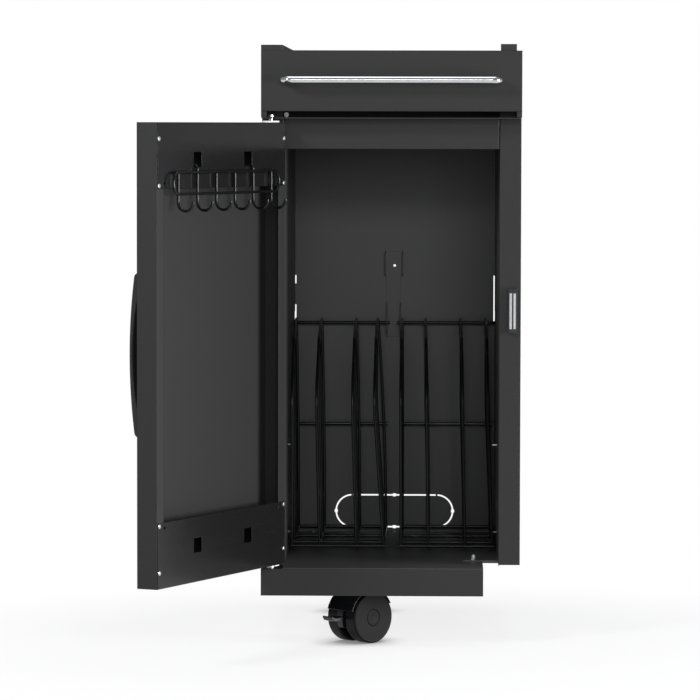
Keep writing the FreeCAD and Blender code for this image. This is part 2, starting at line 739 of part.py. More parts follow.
def placed(shape, stem_y, turn):
    """Moves a caster piece, drawn about its stem and trailing to -Y, to its place."""
    moved = shape.copy()
    moved.rotate(Vector(0, 0, 0), Vector(0, 0, 1), -turn)
    moved.translate(Vector(CASTER_X, stem_y, 0))
    return moved


def caster_plate():
    """The mounting plate with the pin that the caster turns on."""
    top = PLINTH_TOP - SHEET
    low = top - PLATE_T
    half = PLATE / 2
    plate = box(-half, half, -half, half, low, top)
    corners = [e for e in plate.Edges if e.BoundBox.ZLength > PLATE_T / 2]
    plate = plate.makeFillet(6.0, corners)
    pin = cylinder(KINGPIN_R, (0, 0, KINGPIN_LOW), (0, 0, low))
    return fused([plate, pin])


def caster_bolts(stem_y):
    low = PLINTH_TOP - SHEET - PLATE_T
    half = PLATE_BOLT / 2
    heads = []
    for x in (-half, half):
        for y in (-half, half):
            heads.append(cylinder(BOLT_HEAD_R, (CASTER_X + x, stem_y + y, low - BOLT_HEAD_H),
                                  (CASTER_X + x, stem_y + y, low)))
    return heads


def caster_body():
    """The hood, the web between the wheels and the boss round the pin."""
    axle_y = -TRAIL
    hood_r = WHEEL_R + HOOD_GAP + HOOD_T
    inner_r = WHEEL_R + HOOD_GAP
    half = TWIN_W / 2
    hood = cylinder(hood_r, (-half, axle_y, WHEEL_R), (half, axle_y, WHEEL_R))
    hood = hood.cut(cylinder(inner_r, (-half, axle_y, WHEEL_R), (half, axle_y, WHEEL_R)))
    far = 2 * WHEEL_R
    rise = far * math.tan(math.radians(HOOD_SLOPE))
    low = WHEEL_R - AXLE_R
    cutter = prism_x([(axle_y, low), (axle_y - far, low + rise), (axle_y - far, -far),
                      (axle_y + far, -far), (axle_y + far, low + rise * 2 / 3)], -half, half)
    hood = hood.cut(cutter)
    web = cylinder(inner_r + 1, (-WEB / 2, axle_y, WHEEL_R), (WEB / 2, axle_y, WHEEL_R))
    web = web.cut(prism_x([(axle_y, WEB_LOW), (axle_y - far, 2 * WEB_LOW), (axle_y - far, -far),
                           (axle_y + far, -far), (axle_y + far, 2 * WEB_LOW)], -half, half))
    boss_top = PLINTH_TOP - SHEET - PLATE_T - GAP
    boss = cylinder(BOSS_R, (0, 0, WHEEL_R + inner_r / 2), (0, 0, boss_top))
    wells = []
    for side in (-1, 1):
        wells.append(cylinder(inner_r, (side * WEB / 2, axle_y, WHEEL_R), (side * half, axle_y, WHEEL_R)))
    body = fused([hood, web, boss.cut(fused(wells))])
    body = body.cut(cylinder(KINGPIN_R + RUN, (0, 0, KINGPIN_LOW - 1), (0, 0, boss_top)))
    body = body.cut(cylinder(AXLE_R, (-half, axle_y, WHEEL_R), (half, axle_y, WHEEL_R)))
    slot = PEDAL_TONGUE / 2 + GAP
    pivot_y = axle_y - PEDAL_PIVOT
    room = PEDAL_HUB_R + 2
    pivot_z = PEDAL_Z - PEDAL_T / 2
    body = body.cut(box(-slot, slot, pivot_y - 30, pivot_y + room, pivot_z - 3 * room, pivot_z + room))
    return body.cut(brake_pin())


def brake_pin():
    """The cross pin in the web that the pedal turns on."""
    pivot_y = -TRAIL - PEDAL_PIVOT
    pivot_z = PEDAL_Z - PEDAL_T / 2
    return cylinder(PEDAL_PIN_R, (-WEB / 2, pivot_y, pivot_z), (WEB / 2, pivot_y, pivot_z))


def caster_axle():
    reach = TWIN_W / 2 - 4
    return cylinder(AXLE_R, (-reach, -TRAIL, WHEEL_R), (reach, -TRAIL, WHEEL_R))


def caster_wheel():
    """The wheel on the +X side: rounded tread, dished outer face and hub cap."""
    outer = TWIN_W / 2
    inner = outer - WHEEL_W
    tyre_edge = 3.0
    cap = HUB_R
    profile = [
        (inner, AXLE_R + RUN), (inner, WHEEL_R - tyre_edge), (inner + tyre_edge, WHEEL_R),
        (outer - tyre_edge, WHEEL_R), (outer - 0.8, WHEEL_R - 1.2), (outer, WHEEL_R - tyre_edge),
        (outer, cap + 1.4), (outer - 1.2, cap + 1.2), (outer - 1.2, cap), (outer, cap - 0.6),
        (outer, 0), (outer - 3.5, 0), (outer - 3.5, AXLE_R + RUN),
    ]
    points = [Vector(x, 0, r) for x, r in profile]
    face = Part.Face(Part.makePolygon(points + points[:1]))
    wheel = face.revolve(Vector(0, 0, 0), Vector(1, 0, 0), 360)
    wheel.translate(Vector(0, -TRAIL, WHEEL_R))
    return wheel


def brake_pedal():
    """A flat pedal whose tongue runs between the wheels to a cross pin in the web."""
    pivot_y = -TRAIL - PEDAL_PIVOT
    pivot_z = PEDAL_Z - PEDAL_T / 2
    root = -TRAIL - WHEEL_R - HOOD_GAP - HOOD_T - GAP
    tip = -TRAIL - PEDAL_REACH
    z = PEDAL_Z
    outline = [
        (root, z - PEDAL_T), (root, z), (tip + 10, z), (tip, z - 2.5),
        (tip, z - PEDAL_T - 1), (tip + 10, z - PEDAL_T),
    ]
    paddle = prism_x(outline, -PEDAL_W / 2, PEDAL_W / 2)
    half = PEDAL_TONGUE / 2
    tongue = box(-half, half, root - 3, pivot_y, z - PEDAL_T, z)
    hub = cylinder(PEDAL_HUB_R, (-half, pivot_y, pivot_z), (half, pivot_y, pivot_z))
    bore = cylinder(PEDAL_PIN_R + RUN, (-half, pivot_y, pivot_z), (half, pivot_y, pivot_z))
    return fused([paddle, tongue, hub]).cut(bore)


write("base_plinth", base_plinth())
write("floor_pan", floor_pan())
write("left_side_panel", left_side_panel())
write("right_side_panel", right_side_panel())
write("left_side_liner", left_side_liner())
write("right_side_liner", right_side_liner())
write("back_panel", back_panel())
write("deck", deck())
write("header_panel", header_panel())
write("recess_panel", recess_panel())
write("left_top_wall", left_top_wall())
write("right_top_wall", right_top_wall())
write("joining_tab", joining_tab())
write("fascia", fascia())
write("towel_bar", towel_bar())
write("corner_bracket", corner_bracket())
write("bracket_bolt", bracket_bolt())
write("screws", screws())
write("rack_pegs", rack_pegs())
write("hanger_bracket", hanger_bracket())
write("magnet_case", magnet_case())
write("magnet_strips", magnet_strips())
write("hinge_pins", hinge_pins())

write("door_panel", swung_open(door_panel()))
write("door_bushes", swung_open(door_bushes()))
write("door_top_brace", swung_open(door_top_brace()))
write("door_bottom_brace", swung_open(door_bottom_brace()))
write("door_rivets", swung_open(door_rivets()))
write("door_handle", swung_open(door_handle()))
write("handle_screws", swung_open(handle_screws()))
write("tool_rack", swung_open(tool_rack()))

write("left_rack", wire_rack(-1, LEFT_LEANS))
write("right_rack", wire_rack(1, RIGHT_LEANS))

write("caster_bolts", Part.makeCompound(caster_bolts(CASTER_INSET) + caster_bolts(REAR_Y)))
for end, stem_y, turn in (("front", CASTER_INSET, FRONT_TURN), ("rear", REAR_Y, REAR_TURN)):
    write(end + "_caster_plate", placed(caster_plate(), stem_y, 0))
    write(end + "_caster_body", placed(caster_body(), stem_y, turn))
    write(end + "_caster_axle", placed(caster_axle(), stem_y, turn))
    write(end + "_right_wheel", placed(caster_wheel(), stem_y, turn))
    write(end + "_left_wheel", placed(mirrored(caster_wheel()), stem_y, turn))
    write(end + "_brake_pin", placed(brake_pin(), stem_y, turn))
    write(end + "_brake_pedal", placed(brake_pedal(), stem_y, turn))
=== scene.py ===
import math

import bmesh
import bpy
from mathutils import Matrix, Vector


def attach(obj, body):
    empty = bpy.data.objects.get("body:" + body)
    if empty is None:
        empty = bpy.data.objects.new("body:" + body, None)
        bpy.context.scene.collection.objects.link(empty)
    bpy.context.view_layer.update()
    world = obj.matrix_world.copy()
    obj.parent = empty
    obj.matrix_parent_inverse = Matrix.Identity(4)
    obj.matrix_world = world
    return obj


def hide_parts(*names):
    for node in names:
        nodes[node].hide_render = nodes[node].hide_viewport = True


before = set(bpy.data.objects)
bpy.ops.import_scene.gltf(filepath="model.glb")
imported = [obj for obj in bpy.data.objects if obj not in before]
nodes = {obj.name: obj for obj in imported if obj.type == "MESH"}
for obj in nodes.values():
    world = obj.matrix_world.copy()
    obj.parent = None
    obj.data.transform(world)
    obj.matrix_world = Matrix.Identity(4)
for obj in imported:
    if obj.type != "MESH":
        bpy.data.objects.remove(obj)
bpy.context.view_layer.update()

# The camera stands 6.1 m before the cart, a little lower than the fascia. It has the
# photograph's long lens and looks slightly down and to the left.
sensor_width = 36.0
picture_pixels = 700.0
focal_pixels = 3974.0
camera_place = (0.0702, -6.0939, 0.8059)
turned_left = 1.251
turned_down = 3.25
rolled = 0.107
camera_data = bpy.data.cameras.new("studio_camera")
camera_data.sensor_width = sensor_width
camera_data.lens = focal_pixels / picture_pixels * sensor_width
camera_data.clip_end = 60.0
camera = bpy.data.objects.new("studio_camera", camera_data)
bpy.context.scene.collection.objects.link(camera)
aim = (
    Matrix.Rotation(math.radians(turned_left), 4, "Z")
    @ Matrix.Rotation(math.radians(90.0 - turned_down), 4, "X")
    @ Matrix.Rotation(math.radians(rolled), 4, "Z")
)
camera.matrix_world = Matrix.Translation(camera_place) @ aim
bpy.context.scene.camera = camera
bpy.context.scene.view_settings.view_transform = "Standard"


# The lights: a small key at the upper left, a fill beside the lens that no sheet
# mirrors, a strip over it that lights the towel bar's upper edge, a side and a top.
def softbox(name, place, target, width, height, power):
    """Hangs a rectangular light at a place, turned to its target."""
    lamp = bpy.data.lights.new(name, "AREA")
    lamp.shape = "RECTANGLE"
    lamp.size = width
    lamp.size_y = height
    lamp.energy = power
    holder = bpy.data.objects.new(name, lamp)
    bpy.context.scene.collection.objects.link(holder)
    holder.location = place
    holder.rotation_euler = (Vector(target) - Vector(place)).to_track_quat("-Z", "Y").to_euler()
    return holder


softbox("key_softbox", (-2.5, -2.6, 2.4), (-0.1, 0.0, 0.75), 0.8, 0.7, 84)
front_fill = softbox("front_softbox", (0.4, -4.6, 1.3), (0, 0.3, 0.5), 1.6, 1.0, 108)
front_fill.visible_glossy = False
softbox("front_strip", (0.4, -4.5, 1.75), (0, 0.3, 0.6), 2.0, 0.45, 18)
softbox("side_softbox", (3.0, -1.0, 0.45), (-0.25, -0.1, 0.45), 1.3, 1.1, 150)
softbox("top_softbox", (0.0, 0.3, 3.2), (0, 0.3, 0.0), 2.0, 2.0, 25)

# The air behind the cart: white where the lens sees it, and a dim cool light on the
# cart itself.
cool_light = (0.9, 0.95, 1.0, 1.0)
cool_strength = 0.28
world = bpy.data.worlds.new("studio_air")
bpy.context.scene.world = world
world.use_nodes = True
air = world.node_tree
air.nodes.clear()
air_out = air.nodes.new("ShaderNodeOutputWorld")
air_mix = air.nodes.new("ShaderNodeMixShader")
air_light = air.nodes.new("ShaderNodeBackground")
air_white = air.nodes.new("ShaderNodeBackground")
air_path = air.nodes.new("ShaderNodeLightPath")
air_light.inputs["Color"].default_value = cool_light
air_light.inputs["Strength"].default_value = cool_strength
air_white.inputs["Color"].default_value = (1.0, 1.0, 1.0, 1.0)
air_white.inputs["Strength"].default_value = 1.0
air.links.new(air_path.outputs["Is Camera Ray"], air_mix.inputs["Fac"])
air.links.new(air_light.outputs["Background"], air_mix.inputs[1])
air.links.new(air_white.outputs["Background"], air_mix.inputs[2])
air.links.new(air_mix.outputs["Shader"], air_out.inputs["Surface"])

# The floor: a pale sweep that turns white away from the cart, with a painted contact shadow
# close under it. It glows fully for the lens, less for mirrors, and least as a light on the cart.
floor_radius = 14.0
shade_reach, white_reach, shade_white = 0.45, 0.95, 0.8
glow_on_cart, glow_in_mirrors = 0.3, 0.7
# Painted contact shadow: the floor's glow is darkened where ambient occlusion finds the cart
# within this reach.
painted_shadow_reach, painted_shadow_closed, painted_shadow_open, painted_shadow_dark = 0.07, 0.3, 0.88, 0.25
floor_mesh = bmesh.new()
bmesh.ops.create_circle(
    floor_mesh, cap_ends=True, cap_tris=False, segments=96, radius=floor_radius
)
floor_data = bpy.data.meshes.new("studio_floor")
floor_mesh.to_mesh(floor_data)
floor_mesh.free()
floor = bpy.data.objects.new("studio_floor", floor_data)
bpy.context.scene.collection.objects.link(floor)
floor_paint = bpy.data.materials.new("studio_floor_paint")
floor_paint.use_nodes = True
floor_tree = floor_paint.node_tree
floor_tree.nodes.clear()
floor_out = floor_tree.nodes.new("ShaderNodeOutputMaterial")
floor_mix = floor_tree.nodes.new("ShaderNodeMixShader")
floor_matt = floor_tree.nodes.new("ShaderNodeBsdfDiffuse")
floor_white = floor_tree.nodes.new("ShaderNodeEmission")
floor_place = floor_tree.nodes.new("ShaderNodeTexCoord")
floor_reach = floor_tree.nodes.new("ShaderNodeVectorMath")
floor_fade = floor_tree.nodes.new("ShaderNodeMapRange")
floor_path = floor_tree.nodes.new("ShaderNodeLightPath")
floor_glow = floor_tree.nodes.new("ShaderNodeMapRange")
floor_gloss = floor_tree.nodes.new("ShaderNodeMath")
floor_seen = floor_tree.nodes.new("ShaderNodeMath")
floor_painted_shadow_ao = floor_tree.nodes.new("ShaderNodeAmbientOcclusion")
floor_painted_shadow = floor_tree.nodes.new("ShaderNodeMapRange")
floor_level = floor_tree.nodes.new("ShaderNodeMath")
floor_matt.inputs["Color"].default_value = (0.86, 0.86, 0.86, 1.0)
floor_white.inputs["Color"].default_value = (1.0, 1.0, 1.0, 1.0)
floor_reach.operation = "LENGTH"
floor_fade.interpolation_type = "SMOOTHSTEP"
floor_fade.inputs["From Min"].default_value = shade_reach
floor_fade.inputs["From Max"].default_value = white_reach
floor_fade.inputs["To Min"].default_value = shade_white
floor_glow.inputs["To Min"].default_value = glow_on_cart
floor_gloss.operation = "MULTIPLY"
floor_gloss.inputs[1].default_value = glow_in_mirrors
floor_seen.operation = "MAXIMUM"
floor_painted_shadow_ao.samples = 8
floor_painted_shadow_ao.inputs["Distance"].default_value = painted_shadow_reach
floor_painted_shadow.inputs["From Min"].default_value = painted_shadow_closed
floor_painted_shadow.inputs["From Max"].default_value = painted_shadow_open
floor_painted_shadow.inputs["To Min"].default_value = painted_shadow_dark
floor_level.operation = "MULTIPLY"
for start, end in (
    (floor_place.outputs["Object"], floor_reach.inputs[0]),
    (floor_reach.outputs["Value"], floor_fade.inputs["Value"]),
    (floor_fade.outputs["Result"], floor_mix.inputs["Fac"]),
    (floor_path.outputs["Is Glossy Ray"], floor_gloss.inputs[0]),
    (floor_path.outputs["Is Camera Ray"], floor_seen.inputs[0]),
    (floor_gloss.outputs["Value"], floor_seen.inputs[1]),
    (floor_seen.outputs["Value"], floor_glow.inputs["Value"]),
    # The ambient occlusion darkens the glow near the cart as a painted shadow.
    (floor_painted_shadow_ao.outputs["AO"], floor_painted_shadow.inputs["Value"]),
    (floor_glow.outputs["Result"], floor_level.inputs[0]),
    (floor_painted_shadow.outputs["Result"], floor_level.inputs[1]),
    (floor_level.outputs["Value"], floor_white.inputs["Strength"]),
    (floor_matt.outputs["BSDF"], floor_mix.inputs[1]),
    (floor_white.outputs["Emission"], floor_mix.inputs[2]),
    (floor_mix.outputs["Shader"], floor_out.inputs["Surface"]),
):
    floor_tree.links.new(start, end)
floor_data.materials.append(floor_paint)


# The outer sheets: base, walls, top sheet, strip over the door, fascia and door. They
# are folded mild steel, sprayed with black powder that bakes to a fine dry grain.
def surface(name, shine=0.5):
    """Starts a paint; the shine is how strongly it reflects at a right angle."""
    paint = bpy.data.materials.new(name)
    paint.use_nodes = True
    shader = paint.node_tree.nodes["Principled BSDF"]
    shader.inputs["Specular IOR Level"].default_value = shine
    return paint, paint.node_tree, shader


def grain(tree, shader, size, height, rough, dark, light):
    """Breaks a finish up with a fine noise in its colour, roughness and relief."""
    place = tree.nodes.new("ShaderNodeTexCoord")
    noise = tree.nodes.new("ShaderNodeTexNoise")
    noise.inputs["Scale"].default_value = 1.0 / size
    noise.inputs["Detail"].default_value = 3.0
    tint = tree.nodes.new("ShaderNodeValToRGB")
    tint.color_ramp.elements[0].position = 0.3
    tint.color_ramp.elements[1].position = 0.7
    tint.color_ramp.elements[0].color = (*dark, 1.0)
    tint.color_ramp.elements[1].color = (*light, 1.0)
    gloss = tree.nodes.new("ShaderNodeMapRange")
    gloss.inputs["To Min"].default_value = rough[0]
    gloss.inputs["To Max"].default_value = rough[1]
    relief = tree.nodes.new("ShaderNodeBump")
    relief.inputs["Strength"].default_value = 1.0
    relief.inputs["Distance"].default_value = height
    tree.links.new(place.outputs["Object"], noise.inputs["Vector"])
    tree.links.new(noise.outputs["Fac"], tint.inputs["Fac"])
    tree.links.new(noise.outputs["Fac"], gloss.inputs["Value"])
    tree.links.new(noise.outputs["Fac"], relief.inputs["Height"])
    tree.links.new(tint.outputs["Color"], shader.inputs["Base Color"])
    tree.links.new(gloss.outputs["Result"], shader.inputs["Roughness"])
    tree.links.new(relief.outputs["Normal"], shader.inputs["Normal"])
    return relief


def soften_edges(tree, relief, radius):
    """Catches the light along folds, as the real sheet's bend radius does."""
    edge = tree.nodes.new("ShaderNodeBevel")
    edge.samples = 6
    edge.inputs["Radius"].default_value = radius
    tree.links.new(edge.outputs["Normal"], relief.inputs["Normal"])


def finish_nodes(paint, names):
    """Gives the CAD nodes of these names their paint."""
    for name in names:
        for slot in nodes[name].material_slots:
            slot.material = paint


powder_coat, tree, shader = surface("black_powder_coat", shine=0.36)
relief = grain(tree, shader, size=0.0011, height=0.00006, rough=(0.4, 0.55),
               dark=(0.009, 0.009, 0.0092), light=(0.019, 0.019, 0.0195))
soften_edges(tree, relief, radius=0.0016)
finish_nodes(powder_coat, [
    "base_plinth", "left_side_panel", "right_side_panel", "deck", "header_panel",
    "left_top_wall", "right_top_wall", "joining_tab", "fascia", "door_panel",
])

# The cabinet's floor and back sheets, the racks' channel bracket and the bracket under
# the right wall are folded steel too. Their powder is smoother and shines dully, and its colour is
# painted lighter than the outer black as painted light on the back wall.
lightened_satin_coat, tree, shader = surface("satin_black_coat_painted_light")
relief = grain(tree, shader, size=0.0016, height=0.00003, rough=(0.36, 0.48),
               dark=(0.04, 0.04, 0.041), light=(0.056, 0.056, 0.0575))
soften_edges(tree, relief, radius=0.001)
finish_nodes(lightened_satin_coat, ["floor_pan", "back_panel", "hanger_bracket", "corner_bracket"])

# The recessed sheet closes the gap between the cabinet's top sheet and the fascia. It
# is thin steel with a matt coat, painted near-black as painted shade for the deep shade it lies
# in.
painted_shade_coat, tree, shader = surface("painted_shade_black_coat", shine=0.15)
grain(tree, shader, size=0.002, height=0.00002, rough=(0.5, 0.65),
      dark=(0.002, 0.002, 0.0026), light=(0.004, 0.004, 0.005))
finish_nodes(painted_shade_coat, ["recess_panel"])

# The door's upper and lower plates are steel strips, riveted across the inside of its
# folded pan. Their thin smooth black mirrors the tool rack's wires.
brace_coat, tree, shader = surface("smooth_black_coat", shine=0.34)
relief = grain(tree, shader, size=0.003, height=0.000008, rough=(0.16, 0.24),
               dark=(0.006, 0.006, 0.0065), light=(0.011, 0.011, 0.0115))
soften_edges(tree, relief, radius=0.0008)
finish_nodes(brace_coat, ["door_top_brace", "door_bottom_brace"])

# The tool rack is one welded piece of steel wire with six hooks, dipped in gloss black.
# It hangs in the door's upper plate.
wire_coat, tree, shader = surface("gloss_black_wire", shine=0.3)
grain(tree, shader, size=0.004, height=0.00002, rough=(0.18, 0.3),
      dark=(0.003, 0.0035, 0.0035), light=(0.006, 0.0065, 0.0065))
finish_nodes(wire_coat, ["tool_rack"])

# The towel bar is one steel rod, polished and chromed. Its ends turn back and stand on
# the fascia.
chrome, tree, shader = surface("polished_chrome")
shader.inputs["Metallic"].default_value = 1.0
grain(tree, shader, size=0.02, height=0.000005, rough=(0.1, 0.18),
      dark=(0.66, 0.67, 0.69), light=(0.74, 0.75, 0.76))
finish_nodes(chrome, ["towel_bar"])

# The screws, rivets, pins, axles and bolts, the casters' mounting plates and the
# magnetic catch's two poles are steel, turned or stamped and plated with bright zinc.
zinc, tree, shader = surface("bright_zinc")
shader.inputs["Metallic"].default_value = 1.0
grain(tree, shader, size=0.002, height=0.00001, rough=(0.24, 0.4),
      dark=(0.66, 0.67, 0.69), light=(0.8, 0.81, 0.83))
finish_nodes(zinc, [
    "screws", "rack_pegs", "magnet_strips", "hinge_pins", "door_rivets",
    "handle_screws", "caster_bolts", "front_caster_axle", "rear_caster_axle",
    "front_brake_pin", "rear_brake_pin", "front_caster_plate", "rear_caster_plate",
])

# The bushes in the door's two hinge corners are washers of white nylon, moulded with a
# sleeve that turns on the hinge pin.
nylon, tree, shader = surface("white_nylon")
grain(tree, shader, size=0.003, height=0.00001, rough=(0.4, 0.55),
      dark=(0.74, 0.74, 0.72), light=(0.84, 0.84, 0.82))
finish_nodes(nylon, ["door_bushes"])

# The magnetic catch's case is moulded black plastic with a faintly rough skin. The
# door's handle and the casters' pedals further on are the same.
moulded, tree, shader = surface("moulded_black_plastic", shine=0.35)
relief = grain(tree, shader, size=0.0014, height=0.00002, rough=(0.3, 0.42),
               dark=(0.012, 0.012, 0.0125), light=(0.02, 0.02, 0.021))
soften_edges(tree, relief, radius=0.0008)
finish_nodes(moulded, ["magnet_case"])


# The door's handle is a slim moulded bow with a long finger gap, screwed on through the
# door's skin. Its side outline is drawn on the closed door, widened, given soft edges,
# and swung open with the door.
def extruded(mesh, outline, low, high):
    """Adds a solid to the mesh whose (y, z) outline runs along X from low to high."""
    ring = [mesh.verts.new((low, y, z)) for y, z in outline]
    face = mesh.faces.new(ring)
    grown = bmesh.ops.extrude_face_region(mesh, geom=[face])["geom"]
    moved = [item for item in grown if isinstance(item, bmesh.types.BMVert)]
    bmesh.ops.translate(mesh, verts=moved, vec=(high - low, 0, 0))
    return ring + moved


def finished(mesh, name, paint, edge, place, body, replaced):
    """Turns a mesh into a piece that stands for a node, its edges rounded by edge."""
    crease = 0.6
    bmesh.ops.transform(mesh, matrix=place, verts=mesh.verts)
    bmesh.ops.recalc_face_normals(mesh, faces=mesh.faces)
    for face in mesh.faces:
        face.smooth = True
    for line in mesh.edges:
        line.smooth = line.calc_face_angle(math.pi) < crease
    data = bpy.data.meshes.new(name)
    mesh.to_mesh(data)
    mesh.free()
    data.materials.append(paint)
    piece = bpy.data.objects.new(name, data)
    bpy.context.scene.collection.objects.link(piece)
    if edge:
        rounding = piece.modifiers.new("soft_edges", "BEVEL")
        rounding.width = edge
        rounding.segments = 3
        rounding.limit_method = "ANGLE"
        rounding.angle_limit = crease
    flats = piece.modifiers.new("flat_faces", "WEIGHTED_NORMAL")
    flats.keep_sharp = True
    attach(piece, body)
    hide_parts(replaced)


hinge_pin = Vector((-0.1855, 0.0161, 0.0))
door_open = -115.5
door_face, door_middle = -0.0005, 0.468
door_swing = (
    Matrix.Translation(hinge_pin)
    @ Matrix.Rotation(math.radians(door_open), 4, "Z")
    @ Matrix.Translation(-hinge_pin)
)
bow_left, bow_right, bow_edge = 0.1575, 0.1795, 0.0028
bow_half, bow_rise, bow_sag, bow_steps = 0.114, 0.025, 0.0077, 12
tip_rise, tip_length = 0.0173, 0.0095
gap_half, gap_rise, gap_curve, gap_step = 0.0985, 0.0189, 1.23, 0.0075
outer_line = []
for step in range(-bow_steps, bow_steps + 1):
    share = step / bow_steps
    outer_line.append((bow_rise - bow_sag * share ** 2, bow_half * share))
for step in range(1, 7):
    turn = math.radians(15 * step)
    out, up = tip_rise * math.cos(turn), bow_half + tip_length * math.sin(turn)
    outer_line.append((out, up))
    outer_line.insert(0, (out, -up))
inner_line = [(0.0, gap_half)]
for step in range(10, -11, -1):
    height = gap_step * step
    inner_line.append((gap_rise - gap_curve * height ** 2, height))
inner_line.append((0.0, -gap_half))
bow_outline = [(door_face - out, door_middle + up) for out, up in outer_line + inner_line]
handle = bmesh.new()
extruded(handle, bow_outline, bow_left, bow_right)
finished(handle, "bow_handle", moulded, bow_edge, door_swing, "door",
         "door_handle")

# The walls' inner sheets are flat 1.2 mm steel with the satin coat, whose lighter colour is
# painted light. A notch in the back edge lets each rack's hanging wire pass, and the lower edge of
# the right sheet steps over the bracket below it.
millimetres = Matrix.Scale(0.001, 4)
sheet_front, sheet_back, sheet_top = 43.2, 558.8, 814.4
sheet_inside, sheet_outside = 167.0, 168.2
notch = [(sheet_back, 467.5), (541.0, 467.5), (541.0, 494.0), (sheet_back, 494.0)]
top_edge = [(sheet_back, sheet_top), (sheet_front, sheet_top)]
left_foot = [(sheet_front, 121.3), (sheet_back, 121.3)]
right_foot = [
    (sheet_front, 122.5), (104.7, 122.5), (104.7, 124.5), (145.3, 124.5), (145.3, 122.5),
    (sheet_back, 122.5),
]
for name, side, foot in (("left", -1, left_foot), ("right", 1, right_foot)):
    sheet = bmesh.new()
    low, high = sorted((side * sheet_inside, side * sheet_outside))
    extruded(sheet, foot + notch + top_edge, low, high)
    finished(sheet, name + "_inner_sheet", lightened_satin_coat, 0, millimetres, "cabinet",
             name + "_side_liner")


# Each hanging rack is welded steel wire, dipped in gloss black: four dividers, each a
# tall hoop round a short one on a foot wire, on five thicker cross wires. A sixth hangs
# in the channel bracket and, bent back, in a slot of the back wall.
def swept(mesh, points, radius, sides=10):
    """Adds a round wire along the points, with closed ends."""
    route = [Vector(point) for point in points]
    turns = [2 * math.pi * side / sides for side in range(sides)]
    rings = []
    across = None
    for index, point in enumerate(route):
        before = route[max(index - 1, 0)]
        after = route[min(index + 1, len(route) - 1)]
        ahead = (after - before).normalized()
        if across is None:
            across = ahead.orthogonal().normalized()
        across = (across - ahead * across.dot(ahead)).normalized()
        up = ahead.cross(across)
        rings.append([
            mesh.verts.new(point + (across * math.cos(turn) + up * math.sin(turn)) * radius)
            for turn in turns
        ])
    for ring, other in zip(rings, rings[1:]):
        for side in range(sides):
            mesh.faces.new((ring[side - 1], ring[side], other[side], other[side - 1]))
    mesh.faces.new(rings[0])
    mesh.faces.new(rings[-1])


thin_wire, thick_wire = 2.3, 2.7
tall_front, tall_back, tall_step = 232, 540, 31
back_leg_top, back_leg_step = 440, 34.2
short_front, short_back, short_step = 332, 432, 35
arch_middle, arch_height, arch_radius = 382, 411, 50
hoop_foot = 131.6


def hoop(x, outline, lean, back_lean):
    """A divider's hoop as points. Its front leans up to 350 mm, its back leg all the way."""
    front_rise, back_rise = 218.4, 350.0
    back_leg = tall_back - 10
    points = []
    for y, z in outline:
        back = (y - tall_front) / (tall_back - tall_front)
        rise = min((z - hoop_foot) / front_rise, 1.0)
        if y > back_leg:
            rise = ((z - hoop_foot) / back_rise) ** 2
        points.append((x - (lean * (1 - back) + back_lean * back) * rise, y, z))
    return points


tall_hoop = [(tall_front, hoop_foot + tall_step * step) for step in range(8)]
tall_hoop += [
    (233.5, 368), (239, 380), (250, 391.5), (264, 401), (285, 413.5), (309, 426), (341, 441),
    (375, 454), (405, 463), (440, 470.5), (480, 476.5), (510, 480), (526, 481.8), (533, 481),
    (537.5, 477.5), (tall_back, 471),
]
tall_hoop += [(tall_back, back_leg_top - back_leg_step * step) for step in range(10)]
short_hoop = [(short_front, hoop_foot + short_step * step) for step in range(9)]
for step in range(1, 15):
    turn = math.radians(12 * step)
    short_hoop.append((arch_middle - arch_radius * math.cos(turn),
                       arch_height + arch_radius * math.sin(turn)))
short_hoop += [(short_back, hoop_foot + short_step * step) for step in range(8, -1, -1)]
rack_middle, outer_divider, inner_divider, cross_half = 87, 73, 29.5, 76
foot_front, foot_back, foot_height = 230, 546, 133
under_height, grid_height = 128.7, 305.5
hanging_y, hanging_z, bracket_x, bracket_half = 544, 475, -2, 5.8
slot_start, slot_bend, slot_end = 162.5, 6, 570.2
for name, side, leans in (
    ("left", -1, ((0.5, 4), (4.8, 5), (6.5, 6), (15, 14))),
    ("right", 1, ((1, 1), (3.3, 6), (4.8, 7), (8, 9))),
):
    rack = bmesh.new()
    middle = rack_middle * side
    stations = (
        middle - outer_divider, middle - inner_divider,
        middle + inner_divider, middle + outer_divider,
    )
    for x, (lean, back_lean) in zip(stations, leans):
        swept(rack, hoop(x, tall_hoop, lean, back_lean), thin_wire)
        swept(rack, hoop(x, short_hoop, lean, back_lean), thin_wire)
        swept(rack, [(x, foot_front, foot_height), (x, foot_back, foot_height)], thin_wire)
    for y, z, half in (
        (tall_front, foot_height, cross_half), (hanging_y, foot_height, cross_half),
        (hanging_y, grid_height, cross_half), (short_front, under_height, outer_divider),
        (short_back, under_height, outer_divider),
    ):
        swept(rack, [(middle - half, y, z), (middle + half, y, z)], thick_wire)
    hanging = [
        (bracket_x + side * bracket_half, hanging_y, hanging_z),
        (side * slot_start, hanging_y, hanging_z),
    ]
    for step in range(1, 9):
        turn = math.radians(11.25 * step)
        hanging.append((side * (slot_start + slot_bend * math.sin(turn)),
                        hanging_y + slot_bend - slot_bend * math.cos(turn), hanging_z))
    hanging.append((side * (slot_start + slot_bend), slot_end, hanging_z))
    swept(rack, hanging, thick_wire, 12)
    finished(rack, name + "_divider_rack", wire_coat, 0, millimetres, name + "_rack",
             name + "_rack")


# The bolt in the bracket under the right wall is turned steel, plated with zinc. Its
# tall round head has a recess for the key.
def spun(points, axis, steps):
    """Turns a line of points once round an axis through the origin."""
    mesh = bmesh.new()
    rim = [mesh.verts.new(point) for point in points]
    line = [mesh.edges.new(pair) for pair in zip(rim, rim[1:])]
    bmesh.ops.spin(mesh, geom=rim + line, axis=axis, cent=(0, 0, 0), dvec=(0, 0, 0),
                   angle=2 * math.pi, steps=steps, use_merge=True)
    bmesh.ops.remove_doubles(mesh, verts=mesh.verts, dist=0.001)
    return mesh


